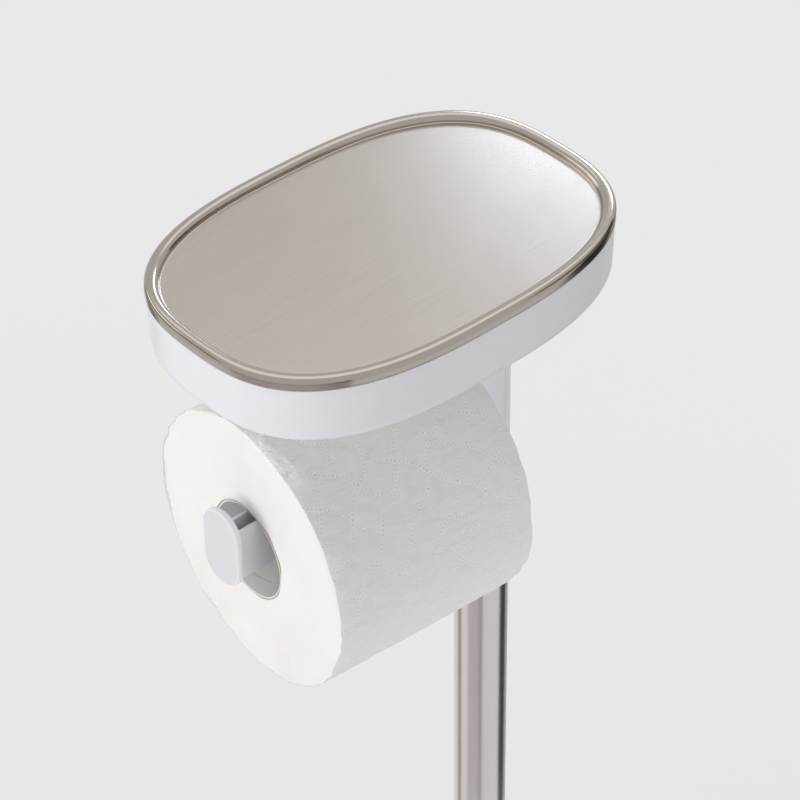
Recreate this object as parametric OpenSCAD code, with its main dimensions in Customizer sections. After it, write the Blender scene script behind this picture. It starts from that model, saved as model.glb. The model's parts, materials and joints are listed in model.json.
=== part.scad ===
// Free-standing toilet roll holder with a lift-off steel tray over a storage tub.
// All sizes are in millimetres. The floor is z = 0 and the middle of the tray is x = 0, y = 0.
// The free end of the roll arm points to -X and the pole stands on the +X side.

/* [Tray] */
// Length of the oval tray over its rim
tray_l = 193.4; // [170:0.2:205]
// Width of the oval tray over its rim
tray_w = 133.6; // [115:0.2:150]
// Squareness of the oval, where 2 is an ellipse
oval_power = 2.76; // [2.2:0.02:3.6]
// Thickness of the steel sheet
sheet_t = 0.8; // [0.5:0.1:1.2]
// Outer radius of the rolled bead along the rim
bead_r = 2.7; // [2.2:0.1:3.4]
// Height of the bead's centre above the tray floor
bead_rise = 0.4; // [0.2:0.1:1.5]
// How far the rim skirt reaches below the tray floor
skirt_drop = 1.9; // [1.2:0.1:2.2]
// Thickness of the plastic backer under the tray floor
backer_t = 1.6; // [1.2:0.1:2.6]
// Depth of the locating rib under the backer
locating_rib_h = 5.6; // [3:0.2:8]
// Spacing of the stiffening ribs under the backer
rib_pitch = 24; // [18:1:40]

/* [Storage tub] */
// Outer height of the tub
tub_h = 27.6; // [22:0.2:40]
// Wall thickness of the tub
tub_wall = 2.6; // [2:0.1:3.2]
// Floor thickness of the tub
tub_floor_t = 3; // [2:0.1:4]
// How far the wall draws in between its top and its bottom radius
tub_draft = 0.6; // [0.2:0.1:2]
// Radius of the outer bottom edge of the tub
tub_edge_r = 7; // [4:0.5:9]

/* [Column and arm] */
// Height of the column between the pole and the tub
column_h = 110; // [95:1:140]
// Distance from the pole's centre to the flat front of the column
column_front = 15.2; // [14:0.2:22]
// Radius of the column's front corners
column_corner_r = 4; // [2:0.5:6]
// Wall thickness of the column
column_wall = 2.4; // [1.8:0.1:2.8]
// Thickness of the column's front wall, which carries the arm
column_front_t = 5; // [4:0.2:5.6]
// Thickness of the column's top and bottom plates
column_plate_t = 6; // [5:0.5:9]
// Width of the arm
arm_w = 9; // [8:0.2:9.6]
// Height of the arm
arm_h = 25.6; // [20:0.2:28]
// Wall thickness of the arm's channel
arm_wall = 1.5; // [1.2:0.1:2]
// Length of the arm from the column to its end cap
arm_l = 123.4; // [115:0.2:140]
// Height of the arm's underside above the foot of the column
arm_rise = 15.2; // [13:0.2:24]
// Width of the oblong end cap
cap_w = 21.5; // [16:0.5:24]
// Height of the oblong end cap
cap_h = 37.3; // [32:0.1:39]
// Thickness of the end cap
cap_t = 3.5; // [2.5:0.1:6]
// Rounding of the end cap's front edge
cap_edge_r = 1.2; // [0.4:0.1:1.8]

/* [Pole] */
// Outer diameter of the pole
pole_d = 24; // [23.4:0.1:27]
// Wall thickness of the pole
pole_wall = 1; // [0.8:0.1:1.5]
// Length of the pole
pole_l = 482; // [400:1:560]
// Distance of the pole from the middle of the tray
pole_x = 53.2; // [48:0.2:60]

/* [Base] */
// Diameter of the base
base_d = 210; // [200:1:240]
// Thickness of the iron weight in the base
weight_t = 13; // [11:0.5:18]
// Thickness of the non-slip pad under the base
pad_t = 2; // [1.5:0.1:3]
// Rounding of the base cover's upper edge
base_edge_r = 5; // [3:0.5:8]
// Outer diameter of the ferrule at the foot of the pole
ferrule_d = 38; // [32:1:50]
// Height of the ferrule
ferrule_h = 5; // [3:0.5:10]

/* [Toilet roll] */
// Outer diameter of the paper roll
roll_d = 124.2; // [90:0.2:126]
// Width of the paper roll
roll_w = 99; // [90:0.5:104]
// Outer diameter of the cardboard core
core_d = 44.8; // [43:0.1:50]
// Wall thickness of the cardboard core
core_t = 1.1; // [0.6:0.1:1.6]
// Distance of the roll's middle from the middle of the tray
roll_x = -23; // [-30:0.5:-18]
// Angle by which the loose roll hangs askew on the arm
roll_skew = 3.5; // [0:0.5:4]

/* [Fasteners] */
// Nominal diameter of the long bolt through the column
head_bolt_d = 6; // [5:0.5:6]
// Nominal diameter of the bolt through the base
base_bolt_d = 8; // [6:0.5:8]
// Nominal diameter of the small screws
screw_d = 3; // [2.5:0.1:3.2]

/* [Hidden] */
$fn = 96;

// Clearances
fit_gap = 0.1;
slide_gap = 0.3;
seat_gap = 0.05;
seam_gap = 0.15;

// Finishes
steel = [0.72, 0.70, 0.67];
white = [0.93, 0.93, 0.95];
zinc = [0.62, 0.63, 0.65];

// Number of facets round the oval shells, and steps in their small arcs
oval_steps = 80;
arc_steps = 6;

// Heights of the stack, from the floor up
pole_z = pad_t + weight_t;
column_z = pole_z + pole_l;
tub_z = column_z + column_h;
tub_top_z = tub_z + tub_h;
tray_z = tub_top_z + backer_t + sheet_t;
arm_z = column_z + arm_rise;
arm_top_z = arm_z + arm_h;

// Insets of the oval sections, measured inwards from the tray's rim
tub_inset = 0.2;
tub_inner_inset = tub_inset + tub_wall;
rib_inset = tub_inner_inset + slide_gap;
rib_t = 1.8;
backer_inset = sheet_t + slide_gap;
floor_inset = 2 * bead_r + 0.5;

// Column
pole_r = pole_d / 2;
seam_x = 2.3;
bolt_tube_r = head_bolt_d / 2 + 2;
spigot_l = 30;
spigot_r = pole_r - pole_wall - fit_gap;
plate_r = pole_r - column_wall - fit_gap;
tongue_h = 2;
tongue_l = 3;

// Arm root and its screws
flange_t = 3;
flange_w = 2 * (pole_r - column_wall - slide_gap);
flange_h = arm_h + 8;
arm_root_x = pole_x - column_front + column_front_t;
arm_end_x = pole_x - column_front - arm_l;
arm_screw_y = (arm_w / 2 + flange_w / 2) / 2;
arm_screw_z = arm_h / 2 - 4;
screw_head_r = screw_d / 2 + 0.7;
screw_head_h = 1.6;

// Plugs in the pole
insert_l = 20;
insert_gap = 2;
insert_r = pole_r - pole_wall - seat_gap;
foot_insert_l = 26;
head_bolt_z = column_z - spigot_l - insert_gap - insert_l;
tub_floor_z = tub_z + tub_floor_t;
washer_t = 1.6;

// Fixings of the tub
tub_screw_d = 4;
tub_screw_x = -8.6;
tub_screw_y = 5.8;
tub_screw_l = 12;

// Base
cover_t = 1;
cover_gap = 1;
base_top_z = pole_z + cover_gap + cover_t;
cover_foot_z = pad_t / 2;
bolt_head_h = 5.3;
counterbore_h = bolt_head_h + washer_t + 0.4;
counterbore_r = base_bolt_d + 1;

// Toilet roll
core_r = core_d / 2;
core_bore_r = core_r - core_t;
skew_reach = (roll_w / 2) * sin(roll_skew);
rest_reach = (arm_w / 2 + skew_reach) / cos(roll_skew);
roll_z = arm_top_z - sqrt(pow(core_bore_r, 2) - pow(rest_reach, 2)) + seat_gap;

// A point of the oval drawn in by inset, at height z, in the direction of angle t
function oval_point(inset, z, t) =
    let (
        a = tray_l / 2 - inset,
        b = tray_w / 2 - inset,
        q = pow(abs(cos(t)) / a, oval_power) + pow(abs(sin(t)) / b, oval_power),
        r = pow(q, -1 / oval_power)
    )
    [r * cos(t), r * sin(t), z];

// Half the length of the oval drawn in by inset, measured at a given offset across it
function oval_reach(inset, across, along_x) =
    let (
        a = tray_l / 2 - inset,
        b = tray_w / 2 - inset,
        half = along_x ? a : b,
        other = along_x ? b : a
    )
    half * pow(1 - pow(abs(across) / other, oval_power), 1 / oval_power);

// An arc of section points, as pairs of inset and height
function section_arc(inset, z, r, from, to) =
    [for (k = [0 : arc_steps])
        let (t = from + (to - from) * k / arc_steps)
        [inset - r * cos(t), z + r * sin(t)]];

// A solid oval whose section runs from its lower face, round the outside, to its upper face
module oval_solid(section) {
    rings = len(section);
    points = [for (p = section, i = [0 : oval_steps - 1]) oval_point(p[0], p[1], 360 * i / oval_steps)];
    lower = [[for (i = [0 : oval_steps - 1]) i]];
    upper = [[for (i = [oval_steps - 1 : -1 : 0]) (rings - 1) * oval_steps + i]];
    sides = [for (j = [0 : rings - 2], i = [0 : oval_steps - 1], half = [0, 1])
        let (
            next = (i + 1) % oval_steps,
            a = j * oval_steps + i,
            b = j * oval_steps + next,
            c = a + oval_steps,
            d = b + oval_steps
        )
        half == 0 ? [a, c, d] : [a, d, b]];
    polyhedron(points, concat(lower, sides, upper), convexity = 6);
}

// Plan of the column: round at the back, flat in front with rounded corners
module column_plan(inset, front_inset) {
    r = pole_r - inset;
    corner = max(column_corner_r - inset, 0.8);
    front = column_front - front_inset;
    circle(r);
    translate([corner - front, -r]) square([front - corner, 2 * r]);
    translate([-front, corner - r]) square([front, 2 * (r - corner)]);
    for (side = [-1, 1])
        translate([corner - front, side * (r - corner)]) circle(corner);
}

// An oblong plate standing in the YZ plane, its front edge rounded and its front at x = 0
module oblong_plate(w, h, t, edge) {
    r = w / 2;
    for (side = [-1, 1])
        translate([t, 0, side * (h / 2 - r)])
            rotate([0, -90, 0])
                rotate_extrude() {
                    square([r - edge, t]);
                    square([r, t - edge]);
                    translate([r - edge, t - edge]) circle(edge);
                }
    translate([0, 0, r - h / 2])
        linear_extrude(h - w) {
            translate([edge, -r]) square([t - edge, w]);
            translate([0, edge - r]) square([t, w - 2 * edge]);
            for (side = [-1, 1])
                translate([edge, side * (r - edge)]) circle(edge);
        }
}

// A pan head screw pointing down, its head's underside at z = 0
module pan_screw(d, head_r, head_h, l) {
    recess_r = d * 0.32;
    difference() {
        union() {
            translate([0, 0, -l]) cylinder(h = l, r = d / 2);
            cylinder(h = head_h * 0.5, r = head_r);
            translate([0, 0, head_h * 0.5]) cylinder(h = head_h * 0.5, r1 = head_r, r2 = head_r * 0.75);
        }
        translate([0, 0, head_h * 0.45]) cylinder(h = head_h, r = recess_r, $fn = 6);
    }
}

// A flat washer standing on z = 0
module flat_washer(bore_r, r, t) {
    difference() {
        cylinder(h = t, r = r);
        translate([0, 0, -1]) cylinder(h = t + 2, r = bore_r);
    }
}

// The places of the arm's root screws, as children at the back of the flange
module at_arm_screws() {
    for (y = [-arm_screw_y, arm_screw_y], z = [-arm_screw_z, arm_screw_z])
        translate([arm_root_x + flange_t, y, arm_z + arm_h / 2 + z])
            rotate([0, 90, 0])
                children();
}

// The places of the screws between tub and column, as children on the tub's floor
module at_tub_screws() {
    for (y = [-tub_screw_y, tub_screw_y])
        translate([pole_x + tub_screw_x, y, tub_floor_z])
            children();
}

// Pressed steel tray: flat floor, rolled bead and short outer skirt
module tray_pressing() {
    wall_inset = 2 * bead_r;
    color(steel)
        translate([0, 0, tray_z])
            oval_solid(concat(
                [
                    [floor_inset + 2, -sheet_t],
                    [wall_inset - 0.1, -sheet_t],
                    [wall_inset - sheet_t + 0.15, -sheet_t * 0.75],
                    [wall_inset - sheet_t, -sheet_t * 0.4]
                ],
                section_arc(bead_r, bead_rise, bead_r - sheet_t, 180, 0),
                [[sheet_t, -skirt_drop], [0, -skirt_drop]],
                section_arc(bead_r, bead_rise, bead_r, 0, 180),
                [
                    [wall_inset + 0.12, 0.08],
                    [floor_inset, 0],
                    [floor_inset + 2, 0]
                ]
            ));
}

// Plastic backer bonded under the steel, with a locating rib and a grid of stiffening ribs
module tray_backer() {
    stiffener_t = 1.2;
    stiffener_h = 3;
    inner = rib_inset + rib_t - 0.4;
    rows = floor((tray_w / 2 - inner - 6) / rib_pitch);
    columns = floor((tray_l / 2 - inner - 6) / rib_pitch);
    color(white)
        translate([0, 0, tray_z - sheet_t]) {
            oval_solid([
                [rib_inset + rib_t + 4, -backer_t],
                [rib_inset + rib_t, -backer_t],
                [rib_inset + rib_t, -locating_rib_h],
                [rib_inset + 0.5, -locating_rib_h],
                [rib_inset, -locating_rib_h + 1],
                [rib_inset, -backer_t],
                [backer_inset, -backer_t],
                [backer_inset, 0],
                [rib_inset + rib_t + 4, 0]
            ]);
            for (k = [-rows : rows])
                let (reach = oval_reach(inner, k * rib_pitch, true))
                translate([-reach, k * rib_pitch - stiffener_t / 2, -backer_t - stiffener_h])
                    cube([2 * reach, stiffener_t, stiffener_h + 0.4]);
            for (k = [-columns : columns])
                let (reach = oval_reach(inner, k * rib_pitch, false))
                translate([k * rib_pitch - stiffener_t / 2, -reach, -backer_t - stiffener_h])
                    cube([stiffener_t, 2 * reach, stiffener_h + 0.4]);
        }
}

// Storage tub: drafted oval bowl, open at the top, screwed to the column
module tub() {
    low_inset = tub_inset + tub_draft;
    inner_r = max(tub_edge_r - tub_wall, 1.5);
    inner_low = tub_inner_inset + tub_draft;
    color(white)
        difference() {
            translate([0, 0, tub_z])
                oval_solid(concat(
                    [[low_inset + tub_edge_r + 4, 0]],
                    section_arc(low_inset + tub_edge_r, tub_edge_r, tub_edge_r, -90, 0),
                    [
                        [tub_inset, tub_h - 0.4],
                        [tub_inset + 0.4, tub_h],
                        [tub_inner_inset - 0.3, tub_h],
                        [tub_inner_inset, tub_h - 0.3]
                    ],
                    section_arc(inner_low + inner_r, tub_floor_t + inner_r, inner_r, 0, -90),
                    [[inner_low + inner_r + 4, tub_floor_t]]
                ));
            translate([pole_x, 0, tub_z - 1])
                cylinder(h = tub_floor_t + 2, r = head_bolt_d / 2 + slide_gap);
            at_tub_screws()
                translate([0, 0, -tub_floor_t - 1]) cylinder(h = tub_floor_t + 2, r = tub_screw_d / 2 + fit_gap);
        }
}

// Screws that stop the tub from turning on the column
module tub_screws() {
    color(zinc)
        at_tub_screws()
            pan_screw(tub_screw_d, 3.2, 2.2, tub_screw_l);
}

// Long bolt that clamps the tub and the column to the pole
module head_bolt() {
    head_h = head_bolt_d;
    shank_l = tub_floor_z + washer_t - head_bolt_z;
    color(zinc)
        translate([pole_x, 0, tub_floor_z + washer_t])
            difference() {
                union() {
                    cylinder(h = head_h, r = head_bolt_d * 0.83);
                    translate([0, 0, -shank_l]) cylinder(h = shank_l, r = head_bolt_d / 2);
                }
                translate([0, 0, head_h * 0.45]) cylinder(h = head_h, r = head_bolt_d * 0.48, $fn = 6);
            }
}

module head_washer() {
    color(zinc)
        translate([pole_x, 0, tub_floor_z])
            flat_washer(head_bolt_d / 2 + seat_gap * 4, head_bolt_d + 0.5, washer_t);
}

// Front moulding of the column: flat-fronted shell with end plates, bolt tube, ribs and spigot
module column_front_shell() {
    hollow_h = column_h - 2 * column_plate_t;
    back = 2 * pole_r;
    color(white)
        difference() {
            translate([pole_x, 0, column_z])
                union() {
                    difference() {
                        linear_extrude(column_h) column_plan(0, 0);
                        translate([0, 0, column_plate_t])
                            linear_extrude(hollow_h) column_plan(column_wall, column_front_t);
                        translate([seam_x, -back / 2 - 1, -1]) cube([back, back + 2, column_h + 2]);
                    }
                    for (z = [0, column_h - column_plate_t])
                        translate([0, 0, z])
                            cylinder(h = column_plate_t, r = plate_r);
                    cylinder(h = column_h, r = bolt_tube_r);
                    for (side = [-1, 1], z = [0.3, 0.6, 0.85])
                        translate([-1, side > 0 ? 0 : 1 - pole_r, column_h * z])
                            cube([2, pole_r - 1, 2]);
                    translate([0, 0, -spigot_l]) {
                        cylinder(h = spigot_l, r = spigot_r);
                        cylinder(h = spigot_l + 1, r = plate_r);
                    }
                    for (y = [-tub_screw_y, tub_screw_y])
                        translate([tub_screw_x, y, column_h - tub_screw_l])
                            cylinder(h = tub_screw_l - 1, r = tub_screw_d / 2 + 1.4);
                }
            translate([pole_x, 0, column_z - spigot_l - 1])
                cylinder(h = column_h + spigot_l + 2, r = head_bolt_d / 2 + slide_gap);
            translate([pole_x - column_front - 1, -arm_w / 2 - fit_gap, arm_z - fit_gap])
                cube([column_front_t + 2, arm_w + 2 * fit_gap, arm_h + 2 * fit_gap]);
            at_arm_screws()
                translate([0, 0, -flange_t - column_front_t + 0.4])
                    cylinder(h = column_front_t, r = screw_d / 2 + seat_gap);
            at_tub_screws()
                translate([0, 0, -tub_screw_l - 0.5]) cylinder(h = tub_screw_l + 2, r = tub_screw_d / 2 + seat_gap);
        }
}

// Rear cover of the column, clipped over the plates by two tongues
module column_rear_cover() {
    color(white)
        translate([pole_x, 0, column_z])
            difference() {
                union() {
                    difference() {
                        cylinder(h = column_h, r = pole_r);
                        translate([0, 0, -1]) cylinder(h = column_h + 2, r = pole_r - column_wall + fit_gap);
                    }
                    for (z = [column_plate_t + fit_gap, column_h - column_plate_t - tongue_h - fit_gap])
                        translate([pole_r - column_wall - tongue_l, -4, z])
                            cube([tongue_l + 1, 8, tongue_h]);
                }
                translate([seam_x + seam_gap - 3 * pole_r, -2 * pole_r, -1])
                    cube([3 * pole_r, 4 * pole_r, column_h + 2]);
            }
}

// Roll arm: deep channel open at the top, with a root flange inside the column
module roll_arm() {
    l = arm_root_x - arm_end_x;
    edge = 1.2;
    color(white)
        difference() {
            union() {
                translate([arm_end_x, 0, arm_z])
                    rotate([90, 0, 90])
                        linear_extrude(l)
                            difference() {
                                union() {
                                    translate([-arm_w / 2, edge]) square([arm_w, arm_h - edge]);
                                    translate([edge - arm_w / 2, 0]) square([arm_w - 2 * edge, arm_h / 2]);
                                    for (side = [-1, 1])
                                        translate([side * (arm_w / 2 - edge), edge]) circle(edge);
                                }
                                translate([arm_wall - arm_w / 2, 2])
                                    square([arm_w - 2 * arm_wall, arm_h]);
                            }
                translate([0, 0, arm_z + arm_h / 2 - flange_h / 2])
                    linear_extrude(flange_h)
                        intersection() {
                            translate([pole_x, 0]) column_plan(column_wall + slide_gap, column_front_t);
                            translate([arm_root_x, -flange_w / 2]) square([flange_t, flange_w]);
                        }
            }
            at_arm_screws()
                translate([0, 0, -flange_t - 1]) cylinder(h = flange_t + 2, r = screw_d / 2 + fit_gap);
        }
}

module arm_screws() {
    color(zinc)
        at_arm_screws()
            pan_screw(screw_d, screw_head_r, screw_head_h, flange_t + column_front_t - 0.8);
}

// Oblong end cap with a tenon that plugs into the arm's channel
module arm_end_cap() {
    tenon_l = 10;
    tenon_h = arm_h - 5;
    tenon_w = arm_w - 2 * arm_wall - 2 * fit_gap;
    drop = 0.4;
    color(white) {
        translate([arm_end_x - cap_t, 0, arm_z - drop + cap_h / 2])
            oblong_plate(cap_w, cap_h, cap_t, cap_edge_r);
        translate([arm_end_x - 0.5, -tenon_w / 2, arm_z + 2 + fit_gap])
            cube([tenon_l, tenon_w, tenon_h]);
    }
}

// Steel tube
module pole() {
    color(steel)
        translate([pole_x, 0, pole_z])
            difference() {
                cylinder(h = pole_l, r = pole_r);
                translate([0, 0, -1]) cylinder(h = pole_l + 2, r = pole_r - pole_wall);
            }
}

// Threaded plug in the top of the pole
module pole_top_insert() {
    color(zinc)
        translate([pole_x, 0, head_bolt_z])
            difference() {
                cylinder(h = insert_l, r = insert_r);
                translate([0, 0, -1]) cylinder(h = insert_l + 2, r = head_bolt_d / 2 + seat_gap);
            }
}

// Threaded plug in the foot of the pole
module pole_foot_insert() {
    color(zinc)
        translate([pole_x, 0, pole_z])
            difference() {
                cylinder(h = foot_insert_l, r = insert_r);
                translate([0, 0, -1]) cylinder(h = foot_insert_l + 2, r = base_bolt_d / 2 + seat_gap);
            }
}

// Ring that hides the hole where the pole enters the base
module pole_ferrule() {
    edge = 1.5;
    bore_r = pole_r + fit_gap;
    color(steel)
        translate([pole_x, 0, base_top_z])
            rotate_extrude()
                difference() {
                    union() {
                        translate([bore_r, 0]) square([ferrule_d / 2 - bore_r, ferrule_h - edge]);
                        translate([bore_r, 0]) square([ferrule_d / 2 - edge - bore_r, ferrule_h]);
                        translate([ferrule_d / 2 - edge, ferrule_h - edge]) circle(edge);
                    }
                    translate([0, -1]) square([bore_r, ferrule_h + 2]);
                }
}

// Pressed steel cover of the base
module base_cover() {
    r = base_d / 2;
    h = base_top_z - cover_foot_z;
    color(steel)
        translate([0, 0, cover_foot_z])
            difference() {
                rotate_extrude() cover_section(r, h, base_edge_r);
                translate([0, 0, -1])
                    rotate_extrude() cover_section(r - cover_t, h - cover_t + 1, base_edge_r - cover_t);
                translate([pole_x, 0, 0]) cylinder(h = h + 1, r = pole_r + slide_gap);
            }
}

// Half section of a disc with a rounded upper edge
module cover_section(r, h, edge) {
    square([r, h - edge]);
    square([r - edge, h]);
    translate([r - edge, h - edge])
        intersection() {
            circle(edge);
            square(edge);
        }
}

// Iron weight, bored for the bolt and counterbored for its head
module base_weight() {
    r = base_d / 2 - cover_t - cover_gap - base_edge_r * 0.3;
    color([0.25, 0.25, 0.27])
        translate([0, 0, pad_t])
            difference() {
                cylinder(h = weight_t, r = r);
                translate([pole_x, 0, -1]) {
                    cylinder(h = weight_t + 2, r = base_bolt_d / 2 + slide_gap);
                    cylinder(h = counterbore_h + 1, r = counterbore_r);
                }
            }
}

// Soft pad under the weight, open under the bolt
module base_pad() {
    color([0.16, 0.16, 0.17])
        difference() {
            cylinder(h = pad_t, r = base_d / 2 - cover_t - cover_gap);
            translate([pole_x, 0, -1]) cylinder(h = pad_t + 2, r = counterbore_r);
        }
}

module base_bolt() {
    head_top_z = pad_t + counterbore_h - washer_t;
    shank_l = weight_t - counterbore_h + washer_t + foot_insert_l - 4;
    color(zinc)
        translate([pole_x, 0, head_top_z]) {
            cylinder(h = shank_l, r = base_bolt_d / 2);
            translate([0, 0, -bolt_head_h]) cylinder(h = bolt_head_h, r = base_bolt_d * 0.93, $fn = 6);
        }
}

module base_washer() {
    color(zinc)
        translate([pole_x, 0, pad_t + counterbore_h - washer_t])
            flat_washer(base_bolt_d / 2 + seat_gap * 4, base_bolt_d, washer_t);
}

// The loose roll's own frame: its axis along X, its middle at the origin
module on_roll_axis() {
    translate([roll_x, 0, roll_z])
        rotate([0, 0, -roll_skew])
            rotate([0, 90, 0])
                children();
}

// Cardboard tube in the middle of the roll
module roll_core() {
    color([0.72, 0.62, 0.50])
        on_roll_axis()
            difference() {
                cylinder(h = roll_w, r = core_r, center = true);
                cylinder(h = roll_w + 2, r = core_bore_r, center = true);
            }
}

// The wound paper
module roll_paper() {
    color([0.95, 0.94, 0.92])
        on_roll_axis()
            difference() {
                cylinder(h = roll_w, r = roll_d / 2, center = true);
                cylinder(h = roll_w + 2, r = core_r + seat_gap, center = true);
            }
}

tray_pressing();
tray_backer();
tub();
tub_screws();
head_bolt();
head_washer();
column_front_shell();
column_rear_cover();
roll_arm();
arm_screws();
arm_end_cap();
pole();
pole_top_insert();
pole_foot_insert();
pole_ferrule();
base_cover();
base_weight();
base_pad();
base_bolt();
base_washer();
roll_core();
roll_paper();
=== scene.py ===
"""Free-standing toilet roll holder: fine meshes and finishes, with a pale studio and the camera."""

import json
import math

import bpy
from mathutils import Matrix, Vector, noise


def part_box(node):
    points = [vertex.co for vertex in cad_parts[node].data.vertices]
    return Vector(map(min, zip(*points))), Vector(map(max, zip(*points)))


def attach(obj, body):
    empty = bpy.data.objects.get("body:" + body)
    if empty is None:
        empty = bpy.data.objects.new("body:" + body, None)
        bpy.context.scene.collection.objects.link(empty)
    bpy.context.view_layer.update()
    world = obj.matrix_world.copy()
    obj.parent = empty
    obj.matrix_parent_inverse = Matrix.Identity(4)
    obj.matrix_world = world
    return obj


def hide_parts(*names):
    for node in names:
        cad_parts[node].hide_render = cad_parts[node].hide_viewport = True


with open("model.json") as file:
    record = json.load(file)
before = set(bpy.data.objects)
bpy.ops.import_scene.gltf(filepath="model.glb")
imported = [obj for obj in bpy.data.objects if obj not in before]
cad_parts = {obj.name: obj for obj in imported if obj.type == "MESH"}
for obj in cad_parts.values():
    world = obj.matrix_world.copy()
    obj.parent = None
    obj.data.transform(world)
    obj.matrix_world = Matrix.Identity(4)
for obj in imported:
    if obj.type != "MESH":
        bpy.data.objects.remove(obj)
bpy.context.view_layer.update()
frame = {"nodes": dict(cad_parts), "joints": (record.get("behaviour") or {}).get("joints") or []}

bl_info = {
    "name": "Toilet Roll Holder",
    "version": (1, 0, 0),
    "blender": (4, 5, 0),
    "location": "View3D > Sidebar > Roll Holder",
    "description": "Models and finishes a free-standing toilet roll holder round its fixed frame",
    "category": "Object",
}

MM = 0.001

# Places and outer sizes that come from the frame
TRAY_LOW, TRAY_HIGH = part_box("tray_pressing")
TUB_LOW, TUB_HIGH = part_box("tub")
COLUMN_LOW, COLUMN_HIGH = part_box("column_rear_cover")
COLUMN_FRONT_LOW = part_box("column_front_shell")[0]
ARM_LOW, ARM_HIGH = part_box("roll_arm")
CAP_LOW, CAP_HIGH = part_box("arm_end_cap")
POLE_LOW, POLE_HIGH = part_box("pole")
FERRULE_LOW, FERRULE_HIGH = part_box("pole_ferrule")
COVER_LOW, COVER_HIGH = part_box("base_cover")

SPIN = next(joint for joint in frame["joints"] if joint["name"] == "roll_spin")
ROLL_MIDDLE = Vector(SPIN["pos_m"])
ROLL_AXIS = Vector(SPIN["axis"]).normalized()

# The arm's root flange reaches past its channel by this much above and below
FLANGE_REACH = 4 * MM
ARM_SECTION_LOW = ARM_LOW.z + FLANGE_REACH
ARM_SECTION_HIGH = ARM_HIGH.z - FLANGE_REACH

# Thickness of the end cap's plate, and the gap between the core and the paper round it
CAP_PLATE = 3.5 * MM
CORE_FIT = 0.05 * MM

# Where the embossed lattice starts across and round the roll, and how its two families of lines sway
LATTICE_START = (-23.07 * MM, 141.37 * MM)
LATTICE_PHASES = (0.05, 2.94)

# Middle and half length of the crushed stretch of the roll's rim, in turns
CRUMPLE_TURN = 0.292
CRUMPLE_REACH = 0.052

# Rays that see the backdrop as it is, and not the light that falls on the holder
PALE_RAYS = ("Is Camera Ray", "Is Glossy Ray", "Is Transmission Ray")


# Properties that a user would change


def metres(name, description, default):
    """A size in metres."""
    return bpy.props.FloatProperty(name=name, description=description, default=default, unit="LENGTH")


def tint(name, description, default):
    """A colour, as linear values."""
    return bpy.props.FloatVectorProperty(
        name=name, description=description, default=default, subtype="COLOR", size=3
    )


class HolderSizes(bpy.types.PropertyGroup):
    """Sizes of the fine meshes that the frame does not give by itself"""

    oval_power: bpy.props.FloatProperty(
        name="Oval squareness", description="Exponent of the tray's oval, 2 is an ellipse", default=2.76
    )
    oval_steps: bpy.props.IntProperty(
        name="Oval steps", description="Points round the tray and the tub", default=224, min=48
    )
    round_steps: bpy.props.IntProperty(
        name="Round steps", description="Points round the pole and the base", default=128, min=32
    )
    sheet: metres("Steel sheet", "Thickness of the pressed steel", 0.8 * MM)
    bead: metres("Bead radius", "Outer radius of the rolled rim", 2.7 * MM)
    bead_power: bpy.props.FloatProperty(
        name="Bead power", description="2 is a round bead, more is squarer on its outer side", default=2.8,
    )
    bead_rise: metres("Bead rise", "Height of the bead's centre over the tray floor", 0.4 * MM)
    tub_inset: metres("Tub inset", "How far the tub stands in from the rim", 0.2 * MM)
    tub_wall: metres("Tub wall", "Wall thickness of the tub", 2.6 * MM)
    tub_floor: metres("Tub floor", "Floor thickness of the tub", 3.0 * MM)
    tub_draft: metres("Tub draft", "How far the tub's wall draws in", 0.6 * MM)
    tub_edge: metres("Tub edge", "Radius of the tub's bottom edge", 7.0 * MM)
    moulding_edge: metres(
        "Moulding edge", "Small radius on the edges of the white mouldings", 0.35 * MM
    )
    cap_edge: metres("Cap edge", "Radius of the end cap's edges", 1.4 * MM)
    roll_radius: metres("Roll radius", "Outer radius of the paper", 62.1 * MM)
    roll_width: metres("Roll width", "Width of the paper", 99.0 * MM)
    core_radius: metres("Core radius", "Outer radius of the cardboard core", 22.4 * MM)
    core_board: metres("Core board", "Thickness of the core's board", 1.1 * MM)
    cell_side: metres("Cell side", "Length of an embossed cell's side", 14.33 * MM)
    cell_lean: bpy.props.FloatProperty(
        name="First line's lean", description="Angle of the first family of lines to the roll's axis",
        default=math.radians(41.3), subtype="ANGLE"
    )
    cell_cross: bpy.props.FloatProperty(
        name="Second line's lean", description="Angle of the second family of lines to the roll's axis",
        default=math.radians(127.5), subtype="ANGLE"
    )
    cell_waves: bpy.props.FloatVectorProperty(
        name="Line waves", description="How far the two families of lines sway, in cells", size=2,
        default=(0.072, 0.105)
    )
    dots_per_side: bpy.props.IntProperty(
        name="Dots on a side", description="Embossed dots along one side of a cell", default=8, min=4
    )
    sheet_step: metres("Loose end", "Height of the step where the outer sheet ends", 0.35 * MM)


class HolderColours(bpy.types.PropertyGroup):
    """Colours of the finishes, as linear values"""

    # Tray and tube are one stainless steel coloured apart: the tray's darker and the tube's paler, as
    # painted shade and painted light for the darker and brighter surroundings each reflects
    steel: tint("Steel", "Brushed stainless steel", (0.49, 0.446, 0.396))
    tube: tint("Tube", "Polished stainless tube", (0.735, 0.71, 0.70))
    white: tint("White moulding", "Satin white plastic", (0.79, 0.79, 0.84))
    paper: tint("Paper", "Soft tissue", (0.88, 0.868, 0.866))
    board: tint("Board", "Cardboard of the core", (0.85, 0.84, 0.82))
    zinc: tint("Zinc", "Plated screws and plugs", (0.55, 0.56, 0.58))
    backdrop: tint("Backdrop", "Pale floor and background", (0.81, 0.81, 0.81))


# Shader trees written as sums


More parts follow.
